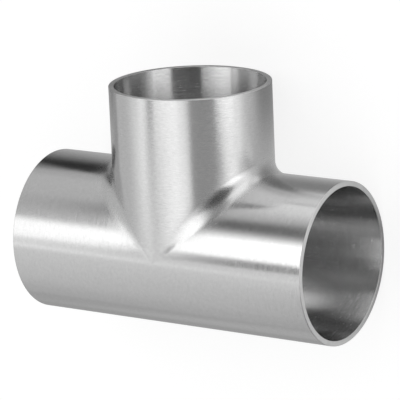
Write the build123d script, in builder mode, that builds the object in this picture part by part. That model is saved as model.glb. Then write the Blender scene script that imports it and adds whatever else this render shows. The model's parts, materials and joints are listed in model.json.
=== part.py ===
from build123d import *
import os

# Short weld tee, equal, in polished stainless tube. The run lies along X, the branch points to +Y,
# and their axes cross at the origin. Lying on its side like this is how the loose fitting rests.
# All lengths are in millimetres.

# Driving dimensions
tube_diameter = 50.8
wall = 1.65
run_half_length = 53.0
branch_length = 52.2
crotch_radius = 4.0
edge_break = 0.2

# Sizes that follow from them
tube_radius = tube_diameter / 2
bore_radius = tube_radius - wall
bore_crotch_radius = crotch_radius + wall

os.makedirs("parts", exist_ok=True)


def tee_form(radius, blend):
    """Two crossed cylinders of one radius, with a rolling ball's blend in the crotch between them.

    The blend is widest at the two sides and fades out at the front and back, where both skins
    run together.
    """
    with BuildPart() as form:
        with BuildSketch(Plane.YZ):
            Circle(radius)
        extrude(amount=run_half_length, both=True)
        with BuildSketch(Plane.XZ):
            Circle(radius)
        extrude(amount=branch_length, dir=(0, 1, 0))
        crossing = form.edges().filter_by(GeomType.ELLIPSE)
        fillet(crossing, radius=blend)
    return form.part


# The skin and the bore are the same form, one wall apart. The bore's crotch radius is larger by
# the wall, so the metal stays equally thick round the crotch, as where tube is drawn into a tee.
skin_form = tee_form(tube_radius, crotch_radius)
bore_form = tee_form(bore_radius, bore_crotch_radius)

with BuildPart() as weld_tee:
    add(skin_form)
    add(bore_form, mode=Mode.SUBTRACT)
    # The three ends are cut square for the weld, and their rims are deburred inside and out.
    rims = weld_tee.edges().filter_by(GeomType.CIRCLE)
    chamfer(rims, length=edge_break)

weld_tee.part.label = "weld_tee"
export_step(weld_tee.part, "parts/weld_tee.step")
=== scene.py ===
from collections import namedtuple
import json
import math

import bpy
from mathutils import Matrix, Vector


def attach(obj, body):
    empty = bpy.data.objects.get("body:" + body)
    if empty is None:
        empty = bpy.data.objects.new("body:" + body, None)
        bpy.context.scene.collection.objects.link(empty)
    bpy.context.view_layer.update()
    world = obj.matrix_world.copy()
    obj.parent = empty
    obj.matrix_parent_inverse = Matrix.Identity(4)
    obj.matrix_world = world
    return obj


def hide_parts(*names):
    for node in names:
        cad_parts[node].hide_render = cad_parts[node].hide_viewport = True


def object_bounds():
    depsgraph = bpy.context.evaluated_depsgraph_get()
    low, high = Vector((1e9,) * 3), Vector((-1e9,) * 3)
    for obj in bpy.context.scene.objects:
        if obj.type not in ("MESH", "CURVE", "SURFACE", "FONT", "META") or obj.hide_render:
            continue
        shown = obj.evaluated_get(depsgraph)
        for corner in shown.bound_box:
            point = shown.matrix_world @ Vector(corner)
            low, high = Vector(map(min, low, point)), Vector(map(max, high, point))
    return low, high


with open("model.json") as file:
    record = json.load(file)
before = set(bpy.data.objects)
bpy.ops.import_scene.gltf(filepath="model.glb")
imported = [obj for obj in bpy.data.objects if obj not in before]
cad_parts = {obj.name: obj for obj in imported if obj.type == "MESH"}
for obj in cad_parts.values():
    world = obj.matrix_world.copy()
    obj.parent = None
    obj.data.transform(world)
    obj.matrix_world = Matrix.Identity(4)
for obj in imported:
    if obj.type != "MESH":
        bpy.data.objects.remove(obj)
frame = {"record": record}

cad_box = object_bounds()

# Sizes of the fitting, in metres. The run lies along X, the branch points to +Y, the axes cross at
# the origin and the fitting lies on its side on the floor.
RUN_END = cad_box[1][0]
BRANCH_END = cad_box[1][1]
SKIN_RADIUS = cad_box[1][2]
FLOOR_Z = cad_box[0][2]
MOUNTS = {mount["name"]: mount for mount in frame["record"]["mounts"]}
BORE_RADIUS = MOUNTS["run_bore"]["dims"]["r_mm"] / 1000
WALL = SKIN_RADIUS - BORE_RADIUS
RIM_RADIUS = 0.0002

# The crotch: its blend radius at the sides, and how much that grows towards the top
CROTCH_RADIUS = 0.004
CROTCH_WIDENING = 0.006

# The dressed finish of the crotch: how far it reaches along the tubes, and how fast it sets in
# from the top, where the blend runs out
DRESSED_REACH = 0.006
DRESSED_GAIN = 3

# Fineness of the mesh. Points of one cell of the weld grid are one, and the nudge is the small
# step that finds the crotch's normals.
QUARTER_STEPS = 40
TUBE_STEPS = 28
CROTCH_STEPS = 14
RIM_STEPS = 4
FACE_STEPS = 2
WELD_GRID = 1e-7
NUDGE = 1e-4

# The steel. A streak is so wide along the tube's axis and so long round it, in metres, and tilts
# the surface by so much at full relief, in radians. Scratches lie askew, where noise climbs over
# their edge.
STEEL_COLOUR = (0.62, 0.62, 0.62)
FINE_STREAK = (0.0004, 0.008)
BROAD_STREAK = (0.0015, 0.025)
FINE_TILT = 0.09
BROAD_TILT = 0.05
RUN_STREAK_SHADE = 0.2
BRANCH_STREAK_SHADE = 0.4
MOTTLES_PER_METRE = 180.0
MOTTLE_SHADE = 0.02
NOISE_RANGE = (0.3, 0.7)
SCRATCH_TURN = math.radians(65)
SCRATCHES_PER_METRE = (2500.0, 60.0, 60.0)
SCRATCH_EDGE = (0.66, 0.74)
SCRATCH_DEPTH = 3e-6
STREAK_ROUGHNESS = 0.03
SCRATCH_ROUGHNESS = 0.05
DRESSED_ROUGHNESS = 0.09
DRESSED_RELIEF = 0.25

# The floor and the studio, in metres and in shares of white
FLOOR_HALF = 1.5
FLOOR_COLOUR = (0.3, 0.3, 0.3, 1.0)
FLOOR_ROUGHNESS = 0.9
FLOOR_GLOW = 0.78
WORLD_LIGHT = 0.8
WHITE = (1.0, 1.0, 1.0, 1.0)

# The light tent, a dome on a table, in metres
TENT_RADIUS = 0.45
TENT_SIDES = 64
TENT_RINGS = 16
TABLE_LIFT = 0.0001

# The photograph's camera: the view is turned from the vertical towards +X and lifted towards the
# branch, and the picture is rolled a little. The aim is where the camera's axis passes the fitting.
VIEW_TURN = math.radians(33.62)
VIEW_LIFT = math.radians(14.32)
VIEW_ROLL = math.radians(2.48)
VIEW_DISTANCE = 0.9899
VIEW_AIM = Vector((-0.0007, 0.0136, -0.0037))
LENS_MM = 284.05
SENSOR_MM = 36.0
CLIP_START = 0.01

# One point of the tee, with its normal, the direction of its brushing, how much of it belongs to
# the branch rather than the run, and how much it has of the crotch's dressed finish
Sample = namedtuple("Sample", "point normal grain branch_share crotch_share")

# The materials of the mesh's faces, in the order of its material slots
FINISHES = ["skin", "rim", "bore"]


class TeeMesh:
    """Gathers the samples of the tee and the faces between them."""

    def __init__(self):
        self.index = {}
        self.samples = []
        self.faces = []
        self.finishes = []

    def add_sample(self, sample):
        """The index of a sample, which is shared with any earlier one in the same place."""
        key = tuple(round(value / WELD_GRID) for value in sample.point)
        if key not in self.index:
            self.index[key] = len(self.samples)
            self.samples.append(sample)
        return self.index[key]

    def add_grid(self, rows, flip, finishes):
        """Faces between rows of samples. The finishes name the material of each column of faces."""
        ids = [[self.add_sample(sample) for sample in row] for row in rows]
        for row, next_row in zip(ids, ids[1:]):
            for k, finish in enumerate(finishes):
                corners = [row[k], row[k + 1], next_row[k + 1], next_row[k]]
                corners = [c for n, c in enumerate(corners) if c not in corners[:n]]
                if len(corners) > 2:
                    self.faces.append(corners[::-1] if flip else corners)
                    self.finishes.append(FINISHES.index(finish))

    def add_share(self, mesh, name):
        """Write a share that the samples hold to the mesh, where the materials read it."""
        attribute = mesh.attributes.new(name, "FLOAT", "POINT")
        attribute.data.foreach_set("value", [getattr(sample, name) for sample in self.samples])

    def make_mesh(self, name):
        """The mesh, with the samples' own normals."""
        mesh = bpy.data.meshes.new(name)
        mesh.from_pydata([sample.point for sample in self.samples], [], self.faces)
        grain = mesh.attributes.new("grain", "FLOAT_VECTOR", "POINT")
        grain.data.foreach_set("vector", [part for sample in self.samples for part in sample.grain])
        self.add_share(mesh, "branch_share")
        self.add_share(mesh, "crotch_share")
        mesh.polygons.foreach_set("material_index", self.finishes)
        mesh.polygons.foreach_set("use_smooth", [True] * len(mesh.polygons))
        mesh.normals_split_custom_set_from_vertices([sample.normal for sample in self.samples])
        mesh.update()
        return mesh


def wall_outline():
    """The outline of the wall along a tube: along the skin, round the square end, back in the bore.

    Each entry gives the share of the way from the crotch to the rim, how far past the rim's start
    it lies, its radius, and the two parts of its normal, along and out of the tube's axis.
    """
    quarter = [math.pi / 2 * k / RIM_STEPS for k in range(RIM_STEPS + 1)]
    outline = [(k / TUBE_STEPS, 0.0, SKIN_RADIUS, 0.0, 1.0) for k in range(TUBE_STEPS)]
    for turn in quarter:
        radius = SKIN_RADIUS - RIM_RADIUS * (1 - math.cos(turn))
        outline.append((1.0, RIM_RADIUS * math.sin(turn), radius, math.sin(turn), math.cos(turn)))
    flat = WALL - 2 * RIM_RADIUS
    for k in range(1, FACE_STEPS):
        outline.append((1.0, RIM_RADIUS, SKIN_RADIUS - RIM_RADIUS - flat * k / FACE_STEPS, 1.0, 0.0))
    for turn in quarter:
        radius = BORE_RADIUS + RIM_RADIUS * (1 - math.sin(turn))
        outline.append((1.0, RIM_RADIUS * math.cos(turn), radius, math.cos(turn), -math.sin(turn)))
    outline += [(1 - k / TUBE_STEPS, 0.0, BORE_RADIUS, 0.0, -1.0) for k in range(1, TUBE_STEPS + 1)]
    return outline


def crotch_radius(turn):
    """The skin's blend radius in the crotch, tight at the side and easier towards the top."""
    return CROTCH_RADIUS + CROTCH_WIDENING * math.cos(turn) ** 2


def dressing(turn):
    """How far the crotch's dressed finish shows, none at the top, where the blend runs out."""
    return min(max(DRESSED_GAIN * math.sin(turn), 0.0), 1.0)


def tube_rows(axis, out, end, turns, branch_share):
    """Rows of samples round one tube, whose wall starts at the crotch.

    The turns count from the top, towards the side out of the axis where the other tube lies.
    """
    rows = []
    for turn in turns:
        radial = out * math.sin(turn) + Vector((0, 0, math.cos(turn)))
        grain = out * math.cos(turn) - Vector((0, 0, math.sin(turn)))
        start = (SKIN_RADIUS + crotch_radius(turn)) * max(math.sin(turn), 0.0)
        rim = end - RIM_RADIUS
        row = []
        for way, past, radius, along, outward in wall_outline():
            distance = (rim - start) * way
            point = axis * (start + distance + past) + radial * radius
            normal = axis * along + radial * outward
            crotch_share = dressing(turn) * max(1 - distance / DRESSED_REACH, 0.0) ** 2
            row.append(Sample(point, normal, grain, branch_share, crotch_share))
        rows.append(row)
    return rows


def crotch_point(turn, share, depth):
    """A point of the crotch blend and its direction out of the metal, as of a rolling ball.

    The share goes from the run at 0 to the branch at 1. The depth is how far the surface lies
    under the skin.
    """
    sine, cosine = math.sin(turn), math.cos(turn)
    radius = crotch_radius(turn)
    centre = Vector((sine, sine, cosine)) * (SKIN_RADIUS + radius)
    angle = math.acos(min(cosine * cosine, 1.0))
    if angle < NUDGE:
        outward = Vector((0, 0, 1))
    else:
        off_run = Vector((0, sine, cosine)) * math.sin((1 - share) * angle)
        off_branch = Vector((sine, 0, cosine)) * math.sin(share * angle)
        outward = (off_run + off_branch) / math.sin(angle)
    return centre - outward * (radius + depth), outward


def crotch_normal(turn, share, depth):
    """The true normal of the crotch blend, whose radius changes on the way to the top."""
    along = crotch_point(turn + NUDGE, share, depth)[0] - crotch_point(turn - NUDGE, share, depth)[0]
    across = crotch_point(turn, share + NUDGE, depth)[0] - crotch_point(turn, share - NUDGE, depth)[0]
    normal = along.cross(across).normalized()
    return normal * math.copysign(1.0, normal.dot(crotch_point(turn, share, depth)[1]))


def crotch_rows(depth, side):
    """Rows of samples across the crotch blend, from the run's skin or bore to the branch's.

    The depth is how far the surface lies under the skin, and the side is -1 for the bore.
    """
    rows = []
    for step in range(QUARTER_STEPS + 1):
        turn = math.pi / 2 * step / QUARTER_STEPS
        row = []
        for k in range(CROTCH_STEPS + 1):
            share = k / CROTCH_STEPS
            point, normal = crotch_point(turn, share, depth)
            if 0 < step and 0 < k < CROTCH_STEPS:
                normal = crotch_normal(turn, share, depth)
            grain = Vector((share * math.cos(turn), (1 - share) * math.cos(turn), -math.sin(turn)))
            row.append(Sample(point, normal * side, grain.normalized(), share, dressing(turn)))
        rows.append(row)
    return rows


def mirrored(rows, x_sign, z_sign):
    """The rows with X and Z times their signs."""
    def flip(vector):
        return Vector((vector.x * x_sign, vector.y, vector.z * z_sign))

    def flipped(sample):
        point, normal, grain = flip(sample.point), flip(sample.normal), flip(sample.grain)
        return sample._replace(point=point, normal=normal, grain=grain)

    return [[flipped(sample) for sample in row] for row in rows]


def build_tee():
    """The whole fitting as one closed mesh, made of four mirrored quarters."""
    tee = TeeMesh()
    x_axis, y_axis = Vector((1, 0, 0)), Vector((0, 1, 0))
    quarter = [math.pi / 2 * k / QUARTER_STEPS for k in range(QUARTER_STEPS + 1)]
    half = [-turn for turn in quarter[:0:-1]] + quarter
    run = tube_rows(x_axis, y_axis, RUN_END, half, 0.0)
    branch = tube_rows(y_axis, x_axis, BRANCH_END, quarter, 1.0)
    skin_crotch = crotch_rows(0.0, 1.0)
    bore_crotch = crotch_rows(WALL, -1.0)
    round_rim = ["rim"] * (2 * RIM_STEPS + FACE_STEPS)
    along_wall = ["skin"] * TUBE_STEPS + round_rim + ["bore"] * TUBE_STEPS
    for x_sign, z_sign in ((1, 1), (-1, 1), (1, -1), (-1, -1)):
        odd = x_sign * z_sign < 0
        tee.add_grid(mirrored(run, x_sign, z_sign), odd, along_wall)
        tee.add_grid(mirrored(branch, x_sign, z_sign), not odd, along_wall)
        tee.add_grid(mirrored(skin_crotch, x_sign, z_sign), not odd, ["skin"] * CROTCH_STEPS)
        tee.add_grid(mirrored(bore_crotch, x_sign, z_sign), odd, ["bore"] * CROTCH_STEPS)
    body = bpy.data.objects.new("tee_body", tee.make_mesh("tee_body"))
    bpy.context.collection.objects.link(body)
    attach(body, "root")
    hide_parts("weld_tee")
    return body


class Nodes:
    """Short ways of adding nodes to the node tree of one material or world."""

    def __init__(self, owner):
        owner.use_nodes = True
        self.tree = owner.node_tree

    def add(self, kind, **settings):
        """A new node of a kind, with its settings."""
        node = self.tree.nodes.new(kind)
        for name, value in settings.items():
            setattr(node, name, value)
        return node

    def put(self, socket, value):
        """Link the value to the socket if it is another socket, or else write it there."""
        if isinstance(value, bpy.types.NodeSocket):
            self.tree.links.new(value, socket)
        else:
            socket.default_value = value

    def attribute(self, name, output):
        """What the mesh holds under a name, at each point of the surface."""
        return self.add("ShaderNodeAttribute", attribute_name=name).outputs[output]

    def math(self, operation, *values):
        """One sum or other operation on numbers."""
        node = self.add("ShaderNodeMath", operation=operation)
        for socket, value in zip(node.inputs, values):
            self.put(socket, value)
        return node.outputs[0]

    def vector(self, operation, *values):
        """One operation on vectors."""
        node = self.add("ShaderNodeVectorMath", operation=operation)
        for socket, value in zip(node.inputs, values):
            self.put(socket, value)
        return node.outputs["Value" if operation == "DOT_PRODUCT" else "Vector"]

    def scaled(self, vector, factor):
        """The vector times a number."""
        node = self.add("ShaderNodeVectorMath", operation="SCALE")
        self.put(node.inputs[0], vector)
        self.put(node.inputs["Scale"], factor)
        return node.outputs["Vector"]

    def turned(self, vector, angle):
        """The vector turned about Z."""
        node = self.add("ShaderNodeVectorRotate", rotation_type="Z_AXIS")
        self.put(node.inputs["Vector"], vector)
        self.put(node.inputs["Angle"], angle)
        return node.outputs["Vector"]

    def ramp(self, value, low, high, to_low=0.0, to_high=1.0, kind="SMOOTHSTEP"):
        """The value between low and high, eased and brought to the range from to_low to to_high."""
        node = self.add("ShaderNodeMapRange", interpolation_type=kind)
        for socket, entry in zip(node.inputs, (value, low, high, to_low, to_high)):
            self.put(socket, entry)
        return node.outputs["Result"]

    def mix(self, share, first, second):
        """The first number at share 0, and the second at share 1."""
        node = self.add("ShaderNodeMix", data_type="FLOAT")
        for name, value in (("Factor", share), ("A", first), ("B", second)):
            self.put(next(socket for socket in node.inputs if socket.name == name), value)
        return node.outputs[0]

    def noise(self, vector, detail):
        """Noise between 0 and 1, mostly near the middle."""
        node = self.add("ShaderNodeTexNoise")
        self.put(node.inputs["Vector"], vector)
        self.put(node.inputs["Detail"], detail)
        return node.outputs[0]

    def swing(self, noise, amount):
        """The noise as a swing about 0, times an amount."""
        return self.math("MULTIPLY", self.math("SUBTRACT", noise, 0.5), amount)


# What the steel's look is made of, as sockets of one material's nodes
Surface = namedtuple(
    "Surface", "place normal round_tube along_tube branch_share crotch_share fine broad scratches"
)


def brushed(nodes, place, branch_share, streak, detail):
    """Noise drawn out round each tube into streaks of a width and a length."""
    across, along = 1 / streak[0], 1 / streak[1]
    on_run = nodes.noise(nodes.vector("MULTIPLY", place, (across, along, along)), detail)
    on_branch = nodes.noise(nodes.vector("MULTIPLY", place, (along, across, along)), detail)
    return nodes.mix(branch_share, on_run, on_branch)


def read_surface(nodes):
    """The surface's directions and shares, its fine and broad streaks, and its scratches."""
    place = nodes.add("ShaderNodeTexCoord").outputs["Object"]
    normal = nodes.add("ShaderNodeNewGeometry").outputs["Normal"]
    round_tube = nodes.attribute("grain", "Vector")
    branch_share = nodes.attribute("branch_share", "Fac")
    askew = nodes.vector("MULTIPLY", nodes.turned(place, SCRATCH_TURN), SCRATCHES_PER_METRE)
    return Surface(
        place=place,
        normal=normal,
        round_tube=round_tube,
        along_tube=nodes.vector("CROSS_PRODUCT", round_tube, normal),
        branch_share=branch_share,
        crotch_share=nodes.attribute("crotch_share", "Fac"),
        fine=brushed(nodes, place, branch_share, FINE_STREAK, detail=3.0),
        broad=brushed(nodes, place, branch_share, BROAD_STREAK, detail=2.0),
        scratches=nodes.ramp(nodes.noise(askew, detail=1.0), *SCRATCH_EDGE),
    )


def along_axis(nodes, surface):
    """The part of a place that lies along its own tube's axis, as a vector."""
    axis = nodes.add("ShaderNodeCombineXYZ")
    nodes.put(axis.inputs["X"], nodes.math("SUBTRACT", 1.0, surface.branch_share))
    nodes.put(axis.inputs["Y"], surface.branch_share)
    return nodes.vector("MULTIPLY", surface.place, axis.outputs[0])


def steel_normal(nodes, surface, run_relief, branch_relief, lean):
    """The steel's normal, tilted by its streaks and grooves and dented by its scratches."""
    relief = nodes.mix(surface.branch_share, run_relief, branch_relief)
    relief = nodes.math("MULTIPLY", relief, nodes.mix(surface.crotch_share, 1.0, DRESSED_RELIEF))
    turn_round = nodes.math("MULTIPLY", nodes.swing(surface.fine, FINE_TILT), relief)
    turn_along = nodes.math("MULTIPLY", nodes.swing(surface.broad, BROAD_TILT), relief)
    normal = nodes.vector("ADD", surface.normal, nodes.scaled(surface.round_tube, turn_round))
    normal = nodes.vector("ADD", normal, nodes.scaled(surface.along_tube, turn_along))
    if lean:
        normal = nodes.vector("ADD", normal, nodes.scaled(along_axis(nodes, surface), lean / RUN_END))
    depth = SCRATCH_DEPTH * run_relief
    height = nodes.math("MULTIPLY", nodes.math("SUBTRACT", surface.fine, surface.scratches), depth)
    bump = nodes.add("ShaderNodeBump")
    bump.inputs["Strength"].default_value = 1.0
    bump.inputs["Distance"].default_value = 1.0
    nodes.put(bump.inputs["Height"], height)
    nodes.put(bump.inputs["Normal"], nodes.vector("NORMALIZE", normal))
    return bump.outputs["Normal"]


def steel_colour(nodes, surface, painted_shade_level):
    """The steel's colour, shaded by its fine streaks and soft mottling, and by painted shade."""
    streak_shade = nodes.mix(surface.branch_share, RUN_STREAK_SHADE, BRANCH_STREAK_SHADE)
    # A level under 1 is painted shade, which darkens the colour, as in the bore.
    shade = nodes.math("ADD", nodes.swing(surface.fine, streak_shade), painted_shade_level)
    mottle = nodes.noise(nodes.scaled(surface.place, MOTTLES_PER_METRE), detail=4.0)
    patches = nodes.ramp(mottle, *NOISE_RANGE, 1 - MOTTLE_SHADE, 1 + MOTTLE_SHADE, "LINEAR")
    return nodes.scaled(STEEL_COLOUR, nodes.math("MULTIPLY", shade, patches))


def steel_roughness(nodes, surface, roughness):
    """The steel's roughness, uneven by its broad streaks, and more in scratches and the crotch."""
    least, most = roughness - STREAK_ROUGHNESS, roughness + STREAK_ROUGHNESS
    rough = nodes.ramp(surface.broad, *NOISE_RANGE, least, most, "LINEAR")
    rough = nodes.math("ADD", rough, nodes.math("MULTIPLY", surface.scratches, SCRATCH_ROUGHNESS))
    return nodes.math("ADD", rough, nodes.math("MULTIPLY", surface.crotch_share, DRESSED_ROUGHNESS))


def steel(name, roughness, anisotropy, run_relief, branch_relief, lean=0.0, painted_shade_level=1.0):
    """Stainless steel, brushed round the tube, and in the crotch along the seam.

    The relief scales how far the streaks tilt the surface. The lean is how far the flanks of
    turned grooves face out of the tube's end, in radians at the rim. The shade level scales the
    colour down as painted shade, as in the bore.
    """
    material = bpy.data.materials.new(name)
    nodes = Nodes(material)
    surface = read_surface(nodes)
    shader = nodes.tree.nodes["Principled BSDF"]
    shader.inputs["Metallic"].default_value = 1.0
    shader.inputs["Anisotropic"].default_value = anisotropy
    nodes.put(shader.inputs["Base Color"], steel_colour(nodes, surface, painted_shade_level))
    nodes.put(shader.inputs["Roughness"], steel_roughness(nodes, surface, roughness))
    nodes.put(shader.inputs["Tangent"], surface.along_tube)
    nodes.put(shader.inputs["Normal"], steel_normal(nodes, surface, run_relief, branch_relief, lean))
    return material


def seen_ray(nodes):
    """1 for a ray from the camera, or by way of metal or glass, and 0 for others."""
    path = nodes.add("ShaderNodeLightPath").outputs
    seen = nodes.math("MAXIMUM", path["Is Camera Ray"], path["Is Glossy Ray"])
    return nodes.math("MAXIMUM", seen, path["Is Transmission Ray"])


def make_floor():
    """A plain pale floor under the fitting, lit in a soft way, so that its shadow stays."""
    mesh = bpy.data.meshes.new("floor")
    corners = [(-FLOOR_HALF, -FLOOR_HALF, 0), (FLOOR_HALF, -FLOOR_HALF, 0)]
    corners += [(FLOOR_HALF, FLOOR_HALF, 0), (-FLOOR_HALF, FLOOR_HALF, 0)]
    mesh.from_pydata(corners, [], [(0, 1, 2, 3)])
    floor = bpy.data.objects.new("floor", mesh)
    floor.location.z = FLOOR_Z
    bpy.context.collection.objects.link(floor)
    material = bpy.data.materials.new("floor")
    nodes = Nodes(material)
    shader = nodes.tree.nodes["Principled BSDF"]
    shader.inputs["Base Color"].default_value = FLOOR_COLOUR
    shader.inputs["Roughness"].default_value = FLOOR_ROUGHNESS
    shader.inputs["Emission Color"].default_value = WHITE
    nodes.put(shader.inputs["Emission Strength"], nodes.math("MULTIPLY", seen_ray(nodes), FLOOR_GLOW))
    mesh.materials.append(material)


def make_world():
    """White where it is seen, and a plain pale grey in the light that it gives."""
    world = bpy.data.worlds.new("studio")
    nodes = Nodes(world)
    background = nodes.tree.nodes["Background"]
    background.inputs["Color"].default_value = WHITE
    nodes.put(background.inputs["Strength"], nodes.mix(seen_ray(nodes), WORLD_LIGHT, 1.0))
    bpy.context.scene.world = world


# Directions across the tent
RIGHT = (1.0, 0.0, 0.0)
BRANCHWARD = (0.0, 1.0, 0.0)
UP = (0.0, 0.0, 1.0)


def leaning(degrees):
    """The direction square to a plane that holds the branch's axis and leans from upright to +X."""
    angle = math.radians(degrees)
    return (math.cos(angle), 0.0, -math.sin(angle))


def beyond(direction, place, fade):
    """The soft edge of a panel that lies beyond the place, counted along the direction."""
    return [(direction, place, fade)]


def short_of(direction, place, fade):
    """The soft edge of a panel that lies short of the place, counted along the direction."""
    return [(tuple(-part for part in direction), -place, fade)]


def between(direction, near, far, fade):
    """The two soft edges of a panel that lies between the places, counted along the direction."""
    return beyond(direction, near, fade) + short_of(direction, far, fade)


# The light plan. A panel has a name, a brightness in shares of white and soft edges, and it covers
# the panels before it. A comment says where panels are, seen with the branch pointing away, and
# then what shows them in the photograph, where the branch points up.
# Ten panels hold numbers from a least-squares fit to the tones in the photograph: front,
# front_glow, front_dark, front_low, band, zenith, ridge, pool, dim and blob. The others were set
# one by one.
Panel = namedtuple("Panel", "name level edges")

# The dome's panels, with places in shares of its radius
DOME_PANELS = [
    # All round: the run's upper flank and the left of the branch
    Panel("walls", 0.65, []),
    # Behind, past the branch: the run's upper flank on the right
    Panel("back", 1.1, beyond((0.6, 0.8, 0.0), 0.42, 0.03)),
    # Overhead: the dark band along the run
    Panel("dark", 0.1, beyond(UP, 0.46, 0.14) + beyond(RIGHT, -0.55, 0.11)),
    # Low on the right: the right side of the branch
    Panel("right_box", 1.2, beyond(leaning(73), 0.0, 0.11) + beyond(RIGHT, 0.3, 0.1)
          + short_of(BRANCHWARD, 0.75, 0.1)),
    # Far past the branch's end: the top of the run on the right, up to the crotch
    Panel("high", 1.35, beyond(BRANCHWARD, 0.78, 0.1) + beyond(RIGHT, 0.0, 0.1)),
    # In front: the run's lower half and the left half of the branch, and the branch's light middle
    Panel("front", 0.86, short_of(BRANCHWARD, 0.15, 0.05) + between(RIGHT, -0.83, 0.48, 0.27)),
    Panel("front_glow", 1.45, short_of(BRANCHWARD, -0.04, 0.5) + between(RIGHT, -0.15, 0.51, 0.65)),
    # In front, further right: the branch's dark stripe
    Panel("front_dark", 0.41, short_of(BRANCHWARD, 0.03, 0.17) + between(RIGHT, 0.5, 0.95, 0.09)),
    # Far in front: the run from its lower half down, and the right side of its bore
    Panel("front_low", 0.64, short_of(BRANCHWARD, -0.64, 0.9)),
    Panel("horizon", 0.58, short_of(BRANCHWARD, -0.5, 0.2) + short_of(UP, 0.2, 0.4)),
    Panel("front_shade", 0.3, short_of(BRANCHWARD, -0.4, 0.1) + beyond(RIGHT, -0.3, 0.06)),
    Panel("front_deep", 0.06, short_of(BRANCHWARD, -0.65, 0.3) + beyond(RIGHT, -0.3, 0.06)),
    # Low on the right: the light stripe on the right of the branch
    Panel("hook_light", 1.9, between(BRANCHWARD, -0.07, 0.35, 0.06) + beyond(leaning(66), 0.0, 0.08)
          + beyond(UP, -0.1, 0.1)),
    # Past the branch, on the right and then overhead: the dark of the crotch's right side and of
    # both bores, and the grey of the run beside it
    Panel("gap", 0.07, between(BRANCHWARD, 0.1, 0.66, 0.1) + beyond(leaning(16), 0.0, 0.1)
          + short_of(leaning(63), 0.0, 0.08)),
    Panel("top_light", 0.36, between(BRANCHWARD, 0.3, 0.9, 0.1) + beyond(RIGHT, -0.38, 0.04)
          + short_of(leaning(14), 0.0, 0.12)),
    # Overhead: the white band along the run, its lower edge on the left, and its brightest part
    Panel("band", 1.71, between(BRANCHWARD, -0.05, 0.33, 0.15) + between(RIGHT, -0.7, 0.26, 0.1)),
    Panel("band_tail", 1.1, between(BRANCHWARD, -0.16, -0.02, 0.1) + between(RIGHT, -0.67, -0.57, 0.06)),
    Panel("zenith", 3.31, beyond((-0.43, -0.2, 0.88), 0.75, 0.35) + beyond(RIGHT, -0.51, 0.02)
          + beyond(BRANCHWARD, 0.34, 0.22)),
    # On the left: the soft ridge of light on the branch
    Panel("ridge", 1.87, between((1.0, 1.57, 0.0), -1.02, -0.82, 0.17)
          + between((0.25, 0.97, 0.0), -0.34, -0.32, 0.11)),
    # Overhead: the dark line under the white band
    Panel("line", 0.0, between(BRANCHWARD, -0.08, 0.09, 0.06) + beyond(RIGHT, -0.5, 0.07)
          + short_of(RIGHT, -0.34, 0.03)),
]

# The table's panels, with places in metres. The table glows with painted light: it stands for
# the lit floor as the metal shows it, with painted shadow of the fitting and a painted pool of light.
TABLE_PANELS = [
    # All round: the run's top edge and both edges of the branch
    Panel("floor", 0.58, []),
    # Far past the branch's end: the run's top edge on the right
    Panel("far", 0.9, beyond(BRANCHWARD, 0.11, 0.05) + beyond(RIGHT, -0.1, 0.06)),
    # In front of the run: its lower edge
    Panel("floor_front", 0.49, short_of(BRANCHWARD, 0.005, 0.02) + short_of(RIGHT, 0.045, 0.02)),
    Panel("floor_right", 0.56, short_of(BRANCHWARD, -0.09, 0.06) + between(RIGHT, -0.09, 0.045, 0.06)),
    Panel("floor_near", 0.4, between(BRANCHWARD, -0.075, 0.005, 0.03) + short_of(RIGHT, 0.045, 0.02)),
    # On the right: a painted pool of light, which the right edge of the branch shows
    Panel("pool", 1.15, beyond(RIGHT, 0.112, 0.15) + beyond((0.2, 1.0, 0.0), -0.01, 0.02)),
    # Off the run's right end: its bore and its rim. The shade panel is painted shadow of the fitting.
    Panel("shade", 0.3, between(RIGHT, 0.045, 0.064, 0.006) + between(BRANCHWARD, -0.05, 0.01, 0.01)),
    Panel("rim_light", 0.9, between(RIGHT, 0.066, 0.1, 0.006) + between(BRANCHWARD, -0.05, 0.02, 0.01)),
    # Off the branch's end: the crotch's right edge, and the branch's rim and bore
    Panel("lip_light", 1.0, between(RIGHT, 0.01, 0.07, 0.015) + between(BRANCHWARD, 0.078, 0.15, 0.015)),
    Panel("lip_shade", 0.2, between(RIGHT, -0.04, 0.0, 0.01) + between(BRANCHWARD, 0.045, 0.08, 0.015)),
    # Left of the branch: painted shadow of the fitting, shown by the dark edges of the run and branch
    Panel("dim", 0.02, short_of(RIGHT, -0.098, 0.223) + between(BRANCHWARD, 0.019, 0.127, 0.043)),
    Panel("blob", 0.03, between(RIGHT, -0.104, -0.049, 0.025) + between(BRANCHWARD, 0.05, 0.155, 0.041)),
    # Right of the branch: the run's top and the branch's edge there
    Panel("spot", 0.3, between(RIGHT, 0.0, 0.05, 0.03) + between(BRANCHWARD, 0.033, 0.07, 0.03)),
]


def paint_panels(nodes, place, panels):
    """The brightness of the tent at a place, where each panel covers those before it."""
    level = 0.0
    for panel in panels:
        cover = 1.0
        for direction, start, fade in panel.edges:
            reach = nodes.vector("DOT_PRODUCT", place, direction)
            inside = nodes.ramp(reach, start - fade / 2, start + fade / 2)
            cover = nodes.math("MULTIPLY", cover, inside)
        level = nodes.mix(cover, level, panel.level)
        level.node.label = panel.name
    return level


def glow(name, unit, panels):
    """A material that shines with the panels' brightness, by place in a unit of length."""
    material = bpy.data.materials.new(name)
    nodes = Nodes(material)
    nodes.tree.nodes.remove(nodes.tree.nodes["Principled BSDF"])
    position = nodes.add("ShaderNodeNewGeometry").outputs["Position"]
    emission = nodes.add("ShaderNodeEmission")
    nodes.put(emission.inputs["Strength"], paint_panels(nodes, nodes.scaled(position, 1 / unit), panels))
    output = nodes.tree.nodes["Material Output"]
    nodes.put(output.inputs["Surface"], emission.outputs[0])
    material.cycles.emission_sampling = "NONE"
    return material


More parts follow.
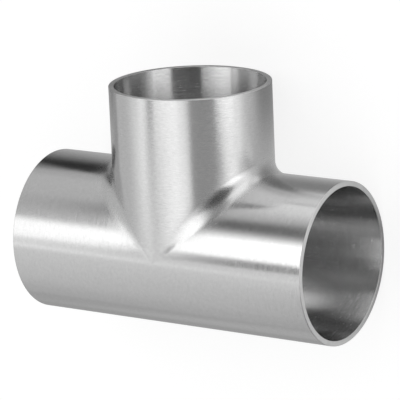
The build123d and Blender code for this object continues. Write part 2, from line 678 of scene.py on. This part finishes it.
def make_tent():
    """A light tent round the fitting, which only the metal shows: a dome on a table."""
    points, faces = [], []
    for ring in range(TENT_RINGS + 1):
        height = math.pi / 2 * ring / TENT_RINGS
        reach = TENT_RADIUS * math.cos(height)
        rise = TENT_RADIUS * math.sin(height) if ring else FLOOR_Z + TABLE_LIFT
        for k in range(TENT_SIDES):
            turn = 2 * math.pi * k / TENT_SIDES
            points.append((reach * math.cos(turn), reach * math.sin(turn), rise))
    for ring in range(TENT_RINGS):
        here, there = ring * TENT_SIDES, (ring + 1) * TENT_SIDES
        for k in range(TENT_SIDES):
            next_k = (k + 1) % TENT_SIDES
            faces.append((here + k, there + k, there + next_k, here + next_k))
    table = len(faces)
    faces.append(tuple(range(TENT_SIDES)))
    mesh = bpy.data.meshes.new("light_tent")
    mesh.from_pydata(points, [], faces)
    mesh.materials.append(glow("tent_walls", TENT_RADIUS, DOME_PANELS))
    mesh.materials.append(glow("table_painted_floor", 1.0, TABLE_PANELS))
    mesh.polygons[table].material_index = 1
    tent = bpy.data.objects.new("light_tent", mesh)
    tent.visible_camera = False
    tent.visible_diffuse = False
    tent.visible_shadow = False
    bpy.context.collection.objects.link(tent)


def make_camera():
    """The photograph's camera."""
    toward = Vector((
        math.cos(VIEW_LIFT) * math.sin(VIEW_TURN),
        math.sin(VIEW_LIFT),
        math.cos(VIEW_LIFT) * math.cos(VIEW_TURN),
    ))
    level = Vector((0, 1, 0)).cross(toward).normalized()
    upright = toward.cross(level)
    right = level * math.cos(VIEW_ROLL) - upright * math.sin(VIEW_ROLL)
    up = toward.cross(right)
    camera = bpy.data.objects.new("camera", bpy.data.cameras.new("camera"))
    turned = Matrix((right, up, toward)).transposed().to_4x4()
    camera.matrix_world = Matrix.Translation(VIEW_AIM + toward * VIEW_DISTANCE) @ turned
    camera.data.lens = LENS_MM
    camera.data.sensor_width = SENSOR_MM
    camera.data.clip_start = CLIP_START
    bpy.context.collection.objects.link(camera)
    bpy.context.scene.camera = camera


body = build_tee()
finishes = [
    steel("brushed_skin", roughness=0.18, anisotropy=0.5, run_relief=0.5, branch_relief=1.3),
    steel("cut_rim", roughness=0.5, anisotropy=0.3, run_relief=0.3, branch_relief=0.6),
    # The bore's colour level of 0.87 is painted shade inside the tubes.
    steel("brushed_bore", roughness=0.22, anisotropy=1.0, run_relief=0.45, branch_relief=0.35,
          lean=0.24, painted_shade_level=0.87),
]
for finish in finishes:
    body.data.materials.append(finish)
make_floor()
make_world()
make_tent()
make_camera()
bpy.context.scene.view_settings.view_transform = "Standard"
